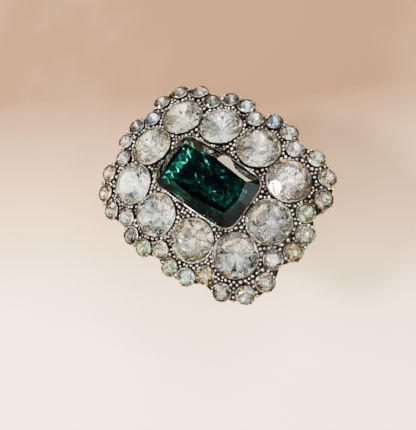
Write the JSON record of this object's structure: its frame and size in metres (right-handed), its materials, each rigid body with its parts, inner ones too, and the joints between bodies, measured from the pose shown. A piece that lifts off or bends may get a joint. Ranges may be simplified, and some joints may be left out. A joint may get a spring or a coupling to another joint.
{
  "type": "cocktail ring",
  "caption": "Antique-style cocktail ring: large domed cluster head of round clear pastes around a cushion-cut green stone, in oxidised silver, on a plain hoop.",
  "frame": {"origin": "centre of the finger hole, midway along the hoop's width", "axes": "+Z from the finger hole up through the head; Y along the finger and along the centre stone; X across the finger"},
  "size_m": [0.0228, 0.027, 0.0246],
  "materials": {
    "silver": "worn oxidised silver",
    "dark_silver": "dark oxidised silver",
    "green_paste": "faceted, foil-backed",
    "clear_paste": "faceted, foil-backed",
    "foil": "thin bright foil"
  },
  "bodies": {
    "root": {"hoop": "silver", "shoulder_left": "silver", "shoulder_right": "silver", "gallery_rail": "silver", "gallery_posts": "dark_silver", "back_plate": "dark_silver", "centre_collet": "silver", "centre_foil": "foil", "centre_stone": "green_paste", "large_collet_01": "silver", "large_collet_02": "silver", "large_collet_03": "silver", "large_collet_04": "silver", "large_collet_05": "silver", "large_collet_06": "silver", "large_collet_07": "silver", "large_collet_08": "silver", "large_collet_09": "silver", "large_collet_10": "silver", "large_foils": "foil", "large_stone_01": "clear_paste", "large_stone_02": "clear_paste", "large_stone_03": "clear_paste", "large_stone_04": "clear_paste", "large_stone_05": "clear_paste", "large_stone_06": "clear_paste", "large_stone_07": "clear_paste", "large_stone_08": "clear_paste", "large_stone_09": "clear_paste", "large_stone_10": "clear_paste", "border_collets_01": "silver", "border_collets_02": "silver", "border_collets_03": "silver", "border_collets_04": "silver", "border_collets_05": "silver", "border_collets_06": "silver", "border_collets_07": "silver", "border_collets_08": "silver", "border_collets_09": "silver", "border_collets_10": "silver", "border_foils": "foil", "border_stones_01": "clear_paste", "border_stones_02": "clear_paste", "border_stones_03": "clear_paste", "border_stones_04": "clear_paste", "border_stones_05": "clear_paste", "border_stones_06": "clear_paste", "border_stones_07": "clear_paste", "border_stones_08": "clear_paste", "border_stones_09": "clear_paste", "border_stones_10": "clear_paste", "inner_grains": "silver", "outer_grains": "silver"}
  },
  "joints": []
}
